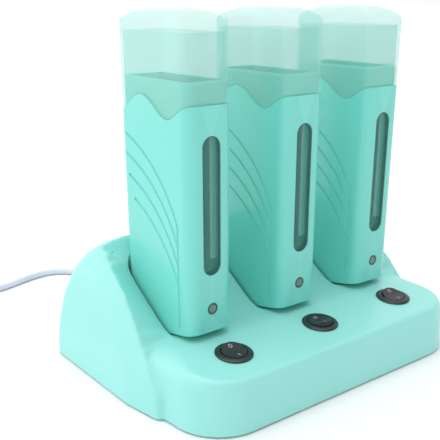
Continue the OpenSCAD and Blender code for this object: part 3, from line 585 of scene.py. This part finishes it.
def scoopedDish(b):  # what is scooped out of the hump's front, from wing to wing
    deep = [(y, b["deck"] + z) for y, z in b["scoop"]]
    wing = []
    for (y, z), (wy, wz, half) in zip(deep, b["wing"]):
        far = (b["wingAt"] - b["scoopHalf"]) / (half - b["scoopHalf"])
        wing.append((y + far * (wy - y), z + far * (wz - z)))
    out, near = b["wingAt"], b["scoopHalf"]
    stations = [(-128, wing), (-out, wing), (-near, deep), (near, deep), (out, wing), (128, wing)]
    clearSelection()
    bpy.ops.mesh.primitive_grid_add(x_subdivisions=len(deep) - 1, y_subdivisions=len(stations) - 1, size=1)
    dish = named("dish")
    order = sorted(dish.data.vertices, key=lambda v: (round(v.co.y, 3), round(v.co.x, 3)))
    for i, (x, line) in enumerate(stations):
        for j, (y, z) in enumerate(line):
            order[i * len(line) + j].co = (x, y, z)
    pickAll(dish)
    bpy.ops.mesh.extrude_region_move(TRANSFORM_OT_translate={"value": (0, 0, 90)})
    facesOut()
    leaveEdit()
    return dish


def roundedBlock(name, low, high, radius, steps=10):
    block = addBlock(name, low, high)
    upright = lambda edge: abs(edge.verts[0].co.z - edge.verts[1].co.z) > 1
    return softenEdges(block, radius, steps, upright)


def cradleCut(b, x, gap, drop):  # what a heater drops into
    y, deck, floorZ = b["heaterMiddle"], b["deck"], b["deck"] - 2.2
    wide, deep = 16 + gap, 35.5 + gap  # half a heater and the room round it
    block = roundedBlock("cradle", (x - wide, y - deep, 20), (x + wide, y + deep, 150), 8 + gap)
    bed = addProfile("bed", [(y - 71, deck + 0.2 - drop), (y - 24, deck + 0.2 - drop), (y - 6, floorZ - drop),
                             (y + 71, floorZ - drop), (y + 71, 140), (y - 71, 140)], x - 40, x + 40)
    return combine(block, bed, "INTERSECT")


def softened(obj, size, rounds):
    useModifier(obj, "REMESH", mode="VOXEL", voxel_size=size)
    return useModifier(obj, "SMOOTH", factor=0.5, iterations=rounds)


def moulded(obj, size, rounds, floorZ):  # softened, with its foot cut flat again
    softened(obj, size, rounds)
    pickAll(obj)
    bpy.ops.mesh.bisect(plane_co=(0, 0, floorZ), plane_no=(0, 0, 1), use_fill=True, clear_inner=True)
    leaveEdit()
    return obj


def makeBase(b):
    xs = [-b["pitch"], 0, b["pitch"]]
    shell = joinAll("baseShell", [deckBlock(b, 0), humpBlock(b, 0)])
    moulded(shell, b["grain"], b["rounds"], b["foot"])
    print("base outer form softened,", len(shell.data.polygons), "faces")
    hollow = combine(deckBlock(b, b["wall"]), humpBlock(b, b["wall"]), "UNION")
    for x in xs:
        ring = cradleCut(b, x, 4.2, 2.6)
        pickAll(ring)
        bpy.ops.mesh.bisect(plane_co=(0, -19, 0), plane_no=(0, 1, 0), use_fill=True, clear_inner=True)
        leaveEdit()
        cutAway(hollow, ring)
    for x, y in b["posts"]:
        cutAway(hollow, addRod("post", (x, y, 53.8), 3.5, 100, sides=32))
    cutAway(shell, hollow)
    slope = math.atan(b["fall"] / (b["deckEnd"] + b["depth"] / 2))
    for x in xs:
        cutAway(shell, cradleCut(b, x, 1.8, 0))
        cutAway(shell, addRod("switchHole", (x, *b["switchAt"]), b["switchHole"], 30, (slope, 0, 0), 64))
        for side in (-1, 1):
            pinX = x + side * b["pinAt"][0]
            cutAway(shell, addRod("pinHole", (pinX, b["pinAt"][1], 35.8), b["pinHole"], 12, sides=24))
    for x, y in b["posts"]:
        cutAway(shell, addRod("pilot", (x, y, 10), 1.55, 20, sides=24))
    cutAway(shell, addRod("outlet", b["outlet"], 4.6, 30, quarter, 40))
    return shell


baseShell = smoothUpTo(toMetres(makeBase(baseSet)), 32)
finishPiece(baseShell, "base", baseMint, "base_mint", "base_shell")
print("base shell made,", len(baseShell.data.polygons), "faces")


# heaters: casing, window, lamp and cap, drawn once and copied along the row

heaterSet = {
    "width": 32, "depth": 71, "corner": 8, "wall": 2.2, "height": 188, "rim": 151.5, "neckIn": 1.9,
    "neckRound": 1.9, "capEdge": 139.5, "trough": 8.6, "crest": 3, "frontRise": 6.8, "riseStarts": -6,
    "footRound": 1.1, "edgeRound": 0.35, "seam": 0.13, "mouth": (24, 58), "mouthMiddle": -1,
    "stand": (1, 36),
    "bosses": [(-18, 13), (24, 13), (0, 30)]}
grooveSet = {"radius": 88, "middle": (56, 35), "step": 12, "count": 4, "half": 0.95, "upright": -24,
             "low": 10, "high": 74, "back": 36, "less": 5}
windowSet = {"width": 12.4, "length": 80.5, "foot": 42.5, "sunk": 0.5, "thick": 1.7, "brim": 1.5,
             "linerFrom": 2.2, "linerFoot": 9, "rib": 0.9}
lampSetOf = {"wide": 7, "height": 21.5, "ring": 0.75}
capSet = {"wall": 1.6, "side": 8, "dome": 14, "bend": 2.2, "sideWall": 2.6, "endWall": 4.9, "roof": 11.8,
          "seat": 0.5, "roomRound": 0.5, "line": 0.4, "grain": 0.7, "rounds": 7}


def eased(a, b, t):
    return a + (b - a) * (1 - math.cos(math.pi * t)) / 2


def waveAt(h, y):  # height of the joint between cap and casing
    q = (y + h["depth"] / 2) / h["depth"]
    edge, low, high = h["capEdge"], h["trough"], h["crest"]
    if q < 0:
        return edge
    if q < 0.28:
        return edge - eased(0, low, q / 0.28)
    if q < 0.64:
        return edge + eased(-low, high, (q - 0.28) / 0.36)
    return edge + eased(high, -low, min(q - 0.64, 0.36) / 0.36)


def waveLine(h, up, steps=48):
    half = h["depth"] / 2 + 3
    return [(y, waveAt(h, y) + up) for y in [-half + 2 * half * i / steps for i in range(steps + 1)]]


def roundPrism(name, h, inset, low, high, corner=None, steps=12):
    half, deep = h["width"] / 2 - inset, h["depth"] / 2 - inset
    return roundedBlock(name, (-half, -deep, low), (half, deep, high), corner or h["corner"] - inset, steps)


def stadiumBlock(name, width, length, foot, front, back, sides=40):
    r, middle = width / 2, foot + length / 2
    rings = [(math.cos(math.pi * i / sides), math.sin(math.pi * i / sides)) for i in range(sides + 1)]
    top = [(r * a, middle + length / 2 - r + r * b) for a, b in rings]
    bottom = [(-r * a, middle - length / 2 + r - r * b) for a, b in rings]
    return addProfile(name, top + bottom, front, back, "y")


def clipWith(obj, place, normal):  # keeps what lies behind the plane
    pickAll(obj)
    bpy.ops.mesh.bisect(plane_co=place, plane_no=normal, use_fill=True, clear_outer=True)
    leaveEdit()
    return obj


def clipFoot(obj, h, up):  # the foot rises towards the front
    lean = math.atan(h["frontRise"] / (h["depth"] / 2 - 5))
    return clipWith(obj, (0, h["riseStarts"], up), (0, -math.sin(lean), -math.cos(lean)))


def casingBody(h):
    body = clipFoot(roundPrism("casing", h, 0, 0, 160), h, 0)
    edge = waveLine(h, 0)
    half = h["depth"] / 2 + 3
    cutAway(body, addProfile("wave", [(-half, 170)] + edge + [(half, 170)], -40, 40))
    atFoot = lambda e: sharpEdge(30)(e) and mid(e).z < 10
    softenEdges(body, h["footRound"], 4, atFoot)
    atWave = lambda e: sharpEdge(45)(e) and mid(e).z > 120
    softenEdges(body, h["edgeRound"], 3, atWave)
    neck = roundPrism("neck", h, h["neckIn"], h["capEdge"] - h["trough"] - 6, h["rim"])
    atRim = lambda e: sharpEdge(45)(e) and mid(e).z > h["rim"] - 0.5
    softenEdges(neck, h["neckRound"], 5, atRim)
    return combine(body, neck, "UNION")


def casingHollow(h):
    room = clipFoot(roundPrism("room", h, h["wall"], 0, h["capEdge"] - h["trough"] - 3), h, h["wall"])
    clipWith(room, (0, 0, h["wall"]), (0, 0, -1))
    neckRoom = roundPrism("neckRoom", h, h["neckIn"] + 1.2, h["capEdge"] - h["trough"] - 4, h["rim"] - 3)
    combine(room, neckRoom, "UNION")
    for y, z in h["bosses"]:
        cutAway(room, addRod("boss", (0, y, z), 3, 40, sideways, 32))
    return room


def mouthBlock(h):
    wide, deep = h["mouth"]
    y = h["mouthMiddle"]
    return addBlock("mouth", (-wide / 2, y - deep / 2, h["rim"] - 4), (wide / 2, y + deep / 2, h["rim"] + 2))


def grooveTools(h, g, side):
    x, tools = side * h["width"] / 2, []
    middleY = g["middle"][0]
    for i in range(g["count"]):
        middleZ = g["middle"][1] - i * g["step"]
        ends = [math.acos((middleY - y) / g["radius"]) for y in (g["upright"], g["back"] - i * g["less"])]
        clearSelection()
        start = (x, middleY - g["radius"] * math.cos(ends[0]), middleZ + g["radius"] * math.sin(ends[0]))
        bpy.ops.mesh.primitive_circle_add(vertices=10, radius=g["half"], fill_type="NGON", location=start,
                                          rotation=(-ends[0], 0, 0))
        tool = seat(named("groove"))
        pickAll(tool)
        bpy.ops.mesh.spin(steps=70, angle=ends[1] - ends[0], center=(x, middleY, middleZ), axis=(1, 0, 0))
        facesOut()
        leaveEdit()
        tools.append(tool)
    middle = (x, g["upright"], (g["low"] + g["high"]) / 2)
    tools.append(addRod("groove", middle, g["half"], g["high"] - g["low"], sides=10))
    return tools


def makeCasing(h, g, w, lamp):
    case = casingBody(h)
    cutAway(case, casingHollow(h), mouthBlock(h))
    front = -h["depth"] / 2
    cutAway(case, stadiumBlock("pane", w["width"], w["length"], w["foot"], front - 3, front + 8))
    cutAway(case, addRod("lampHole", (0, front, lamp["height"]), lamp["wide"] / 2 + 0.05, 14, quarter, 48))
    atFace = lambda e: sharpEdge(50)(e) and mid(e).y < front + 0.01 and abs(mid(e).x) < 7
    softenEdges(case, 0.3, 3, atFace)
    atMouth = lambda e: sharpEdge(50)(e) and mid(e).z > h["rim"] - 0.01
    softenEdges(case, 0.35, 3, atMouth)
    for side in (-1, 1):
        cutAway(case, *grooveTools(h, g, side))
    for x in (-6, 6):
        cutAway(case, addRod("pinWay", (x, 12, 1.5), 2.45, 7, sides=32))
    for y, z in h["bosses"]:
        cutAway(case, addRod("screwWay", (15.4, y, z), 1.5, 32, sideways, 24))
        cutAway(case, addRod("headWay", (22, y, z), 2.5, 20, sideways, 32))
    return case


def halfOf(case, name, h, side):
    half = copyOf(case, name)
    box = addBlock("half", (min(0, side * 40), -60, -10), (max(0, side * 40), 60, 170))
    combine(half, box, "INTERSECT")
    onSeam = lambda e: sharpEdge(60)(e) and all(abs(v.co.x) < 1e-4 for v in e.verts)
    return softenEdges(half, h["seam"], 1, onSeam)


def shiftedTo(obj, name, number):  # from the heater's own middle to its place in the row, in metres
    new = copyOf(obj, name, ((number - 2) * baseSet["pitch"], heaterSet["stand"][0], heaterSet["stand"][1]))
    return toMetres(new)


caseWhole = makeCasing(heaterSet, grooveSet, windowSet, lampSetOf)
halves = {"Left": halfOf(caseWhole, "halfLeft", heaterSet, -1),
          "Right": halfOf(caseWhole, "halfRight", heaterSet, 1)}
bpy.data.objects.remove(caseWhole)
for number in (1, 2, 3):
    for side, half in halves.items():
        piece = smoothUpTo(shiftedTo(half, "case%s_%d" % (side, number), number), 32)
        finishPiece(piece, "heater_unit_%d" % number, caseMint, "case_mint",
                    "case_%s_%d" % (side.lower(), number))
print("casings made,", [len(half.data.polygons) for half in halves.values()], "faces")
for half in halves.values():
    bpy.data.objects.remove(half)


# windows and pilot lamps

def paneBlock(name, w, less, front, back):  # the window's outline, less all round
    return stadiumBlock(name, w["width"] - 2 * less, w["length"] - 2 * less, w["foot"] + less, front, back)


def makeWindow(h, w):
    front = -h["depth"] / 2 + w["sunk"]
    back = front + w["thick"]
    lens = paneBlock("lens", w, 0.1, front, back)
    atFront = lambda e: sharpEdge(50)(e) and mid(e).y < front + 0.01
    softenEdges(lens, 0.55, 4, atFront)
    brim = paneBlock("brim", w, -w["brim"], back + 0.02, back + 1.2)
    return joinAll("window", [lens, brim])


def makePaneShadeRim(h, w):  # dark ring round the pane, a painted shade where the pane's bevel is
    front = -h["depth"] / 2 + 0.28
    outer = paneBlock("rim", w, 0.03, front, front + 1.6)
    cutAway(outer, paneBlock("rimIn", w, 0.65, front - 1, front + 4))
    atFront = lambda e: sharpEdge(50)(e) and mid(e).y < front + 0.01
    return softenEdges(outer, 0.16, 3, atFront)


def stripBehind(h, w, left, right, proud, round):  # an upright strip behind the pane
    back = -h["depth"] / 2 + w["sunk"] + w["thick"] + 1.24
    strip = addBlock("strip", (left, back - proud, w["foot"] + w["linerFoot"]),
                     (right, back + 0.9, w["foot"] + w["length"] + 1.2))
    return softenEdges(strip, round, 3, sharpEdge(50))


def makeLiner(h, w):
    return stripBehind(h, w, w["linerFrom"], w["width"] / 2 + 1.2, 0, 0.22)


def makeHighlightRib(h, w):  # pale rib behind the pane, its near-white colour a painted highlight line
    return stripBehind(h, w, w["linerFrom"] - w["rib"], w["linerFrom"] - 0.02, 0.02, 0.2)


def makeLamp(h, lamp):
    front, r, z = -h["depth"] / 2, lamp["wide"] / 2, lamp["height"]
    lens = addRod("lamp", (0, front + 1.05, z), r - lamp["ring"], 2.3, quarter, 48)
    atFront = lambda e: sharpEdge(50)(e) and mid(e).y < front
    softenEdges(lens, 0.5, 5, atFront)
    seatRing = addRod("lampSeat", (0, front + 2.9, z), r + 1.5, 1.2, quarter, 48)
    return joinAll("lamp", [lens, seatRing])


# dark ring round the lamp lens: painted shade at the lens border
def makeLampShadeRing(h, lamp):
    front, r, z = -h["depth"] / 2, lamp["wide"] / 2, lamp["height"]
    ring = addRod("lampShadeRing", (0, front + 1, z), r - 0.02, 2.5, quarter, 48)
    cutAway(ring, addRod("lampIn", (0, front, z), r - lamp["ring"] + 0.03, 8, quarter, 48))
    atFront = lambda e: sharpEdge(50)(e) and mid(e).y < front
    return softenEdges(ring, 0.22, 3, atFront)


smallOnes = {
    "windowLens": (makeWindow(heaterSet, windowSet), windowSmoke, "window_tint", ["window_%d"]),
    # dark ring round the pane: painted shade of its bevel
    "windowShadeRim": (makePaneShadeRim(heaterSet, windowSet), lampDark, "window_tint", []),
    "windowLiner": (makeLiner(heaterSet, windowSet), linerGreen, "case_mint", []),
    # the rib behind the pane carries a painted highlight line
    "windowHighlightRib": (makeHighlightRib(heaterSet, windowSet), highlightPale, "case_mint", []),
    "lampLens": (makeLamp(heaterSet, lampSetOf), lampGlass, "lamp_tint", ["lamp_lens_%d"]),
    # dark ring round the lamp lens: painted shade at its border
    "lampShadeRing": (makeLampShadeRing(heaterSet, lampSetOf), lampDark, "lamp_tint", [])}
for name, (drawn, finish, slotName, stoodFor) in smallOnes.items():
    for number in (1, 2, 3):
        piece = smoothUpTo(shiftedTo(drawn, "%s_%d" % (name, number), number), 40)
        finishPiece(piece, "heater_unit_%d" % number, finish, slotName,
                    *[node % number for node in stoodFor])
    bpy.data.objects.remove(drawn)
print("windows and lamps made")


# caps: pillowed top, thick frosted wall with a room in it, edge along the wave

def capBlock(name, h, c):
    half, deep, top = h["width"] / 2, h["depth"] / 2, h["height"]
    block = roundPrism(name, h, 0, h["capEdge"] - 24, top + 4, h["corner"], 14)
    dome = [(math.cos(math.pi * i / 56), math.sin(math.pi * i / 56)) for i in range(57)]
    power = 2 / c["bend"]
    crown = [(deep * math.copysign(abs(a) ** power, a), top - c["dome"] * (1 - b ** power)) for a, b in dome]
    combine(block, addProfile("crown", [(-deep, 90), (deep, 90)] + crown, -40, 40), "INTERSECT")
    arc = [(math.cos(math.pi * i / 24), math.sin(math.pi * i / 24)) for i in range(13)]
    right = [(half - c["side"] + c["side"] * a, top - c["side"] + c["side"] * b) for a, b in arc]
    left = [(-x, z) for x, z in reversed(right)]
    sides = addProfile("sides", [(-half, 90), (half, 90)] + right + left, -60, 60, "y")
    return combine(block, sides, "INTERSECT")


def makeCap(h, c):
    cap = softened(capBlock("cap", h, c), c["grain"], c["rounds"])
    cutAway(cap, roundPrism("neckRoom", h, c["wall"], h["capEdge"] - 30, h["rim"] + c["seat"]))
    half, deep = h["width"] / 2 - c["sideWall"], h["depth"] / 2 - c["endWall"]
    room = addBlock("room", (-half, -deep, h["rim"] - 1), (half, deep, h["height"] - c["roof"]))
    cutAway(cap, softenEdges(room, c["roomRound"], 3, sharpEdge(50)))
    back = h["depth"] / 2 + 3
    return cutAway(cap, addProfile("wave", [(back, 60), (-back, 60)] + waveLine(h, c["line"]), -40, 40))


capWhole = makeCap(heaterSet, capSet)
for number in (1, 2, 3):
    piece = smoothUpTo(shiftedTo(capWhole, "cap_%dView" % number, number), 40)
    finishPiece(piece, "cap_%d" % number, capFrost, "cap_clear", "cap_%d" % number)
print("caps made,", len(capWhole.data.polygons), "faces")
bpy.data.objects.remove(capWhole)


# switches

switchSet = {"lean": math.atan(5 / 49.5), "rim": 23, "body": 20, "well": 16, "wellDeep": -4.8,
             "rocker": 15.5, "tip": 10, "pivot": 0.2, "crown": 1.6, "keel": -3.2, "mark": 4.3,
             "pressed": {1: 1, 2: -1, 3: 1}}  # 1 has its front pressed in, -1 its back


def atSwitch(obj, name, number, tip=0):  # from the deck's own plane to its place, in metres
    new = copyOf(obj, name)
    if tip:
        new.rotation_euler = (math.radians(tip), 0, 0)
        seat(new)
        new.location = (0, 0, switchSet["pivot"])
        seat(new)
    new.rotation_euler = (switchSet["lean"], 0, 0)
    new.location = ((number - 2) * baseSet["pitch"], *baseSet["switchAt"])
    return toMetres(seat(new))


def turned(name, outline, steps=72):  # a closed outline (radius, height) spun about Z
    clearSelection()
    bpy.ops.mesh.primitive_circle_add(vertices=len(outline), radius=1)
    obj = named(name)
    for vert, (r, z) in zip(obj.data.vertices, outline):
        vert.co = (r, 0, z)
    pickIn(obj, "EDGE", lambda edge: True)
    bpy.ops.mesh.spin(steps=steps, angle=math.tau, center=(0, 0, 0), axis=(0, 0, 1))
    bpy.ops.mesh.select_all(action="SELECT")
    bpy.ops.mesh.remove_doubles(threshold=0.0005)
    facesOut()
    leaveEdit()
    return obj


def makeSwitchBody(s):
    rim, well, body = s["rim"] / 2, s["well"] / 2, s["body"] / 2
    deep = s["wellDeep"]
    outline = [(rim - 0.25, 0.02), (rim, 0.25), (rim, 0.7), (rim - 0.3, 1.05), (rim - 1.5, 1.5),
               (rim - 2.2, 1.68), (well + 0.55, 1.7), (well + 0.15, 1.6), (well, 1.3), (well, deep),
               (0.9, deep), (0.9, -9), (body - 0.4, -9), (body, -8.6), (body, 0.02)]
    bowl = turned("bowl", outline)
    plug = addRod("bowlFill", (0, 0, (deep - 9) / 2), 0.95, 9 + deep - 0.02, sides=24)
    block = softenEdges(addBlock("block", (-6.5, -8, -14), (6.5, 8, -8.95)), 0.5, 2, sharpEdge(50))
    tabs = [addBlock("tab", (-2.4, y - 0.4, -19), (2.4, y + 0.4, -13.9)) for y in (-5.5, 0, 5.5)]
    return joinAll("switchBody", [bowl, plug, block] + tabs)


def makeRocker(s):
    r, rise = s["rocker"] / 2, math.tan(math.radians(s["tip"]))
    clearSelection()
    bpy.ops.mesh.primitive_uv_sphere_add(segments=72, ring_count=40, radius=r)
    rocker = named("rocker")
    out, high = 2 * r, s["crown"] + 2 * r * rise
    wedge = addProfile("wedge", [(-out, s["keel"]), (out, s["keel"]), (out, high), (0, s["crown"]),
                                 (-out, high)], -out, out)
    combine(rocker, wedge, "INTERSECT")
    atTop = lambda e: sharpEdge(35)(e) and mid(e).z > s["crown"] - 0.1 and mid(e).xy.length > 3
    softenEdges(rocker, 0.4, 4, atTop)
    atKeel = lambda e: sharpEdge(35)(e) and mid(e).z < s["keel"] + 0.1
    softenEdges(rocker, 0.5, 2, atKeel)
    pin = addRod("pivot", (0, 0, 0), 1, s["rim"] - 5, sideways, 24)
    return joinAll("rocker", [rocker, pin])


def makeMarks(s):
    lean = math.radians(s["tip"])
    height = s["crown"] + s["mark"] * math.tan(lean) + 0.02
    clearSelection()
    bpy.ops.mesh.primitive_torus_add(major_segments=48, minor_segments=8, major_radius=1.1, minor_radius=0.23,
                                     location=(0, s["mark"], height), rotation=(lean, 0, 0))
    ring = named("markRing")
    ring.scale = (1, 1, 0.4)
    seat(ring)
    bar = addBlock("markBar", (-0.24, -1.3, -0.05), (0.24, 1.3, 0.07))
    bar.rotation_euler = (-lean, 0, 0)
    bar.location = (0, -s["mark"], height - 0.02)
    return joinAll("marks", [ring, seat(bar)])


switchBody = makeSwitchBody(switchSet)
rockerForm = makeRocker(switchSet)
rockerMarks = makeMarks(switchSet)
for number, way in switchSet["pressed"].items():
    tip = way * switchSet["tip"]
    piece = smoothUpTo(atSwitch(switchBody, "switchBody_%d" % number, number), 35)
    finishPiece(piece, "base", switchBlack, "switch_black", "switch_body_%d" % number)
    piece = smoothUpTo(atSwitch(rockerForm, "rocker_%dView" % number, number, tip), 30)
    finishPiece(piece, "rocker_%d" % number, rockerBlack, "switch_black", "rocker_%d" % number)
    piece = smoothUpTo(atSwitch(rockerMarks, "rockerMarks_%d" % number, number, tip), 40)
    finishPiece(piece, "rocker_%d" % number, markPaint, "switch_black")
for drawn in (switchBody, rockerForm, rockerMarks):
    bpy.data.objects.remove(drawn)
print("switches made")


# done

print("all pieces in place")
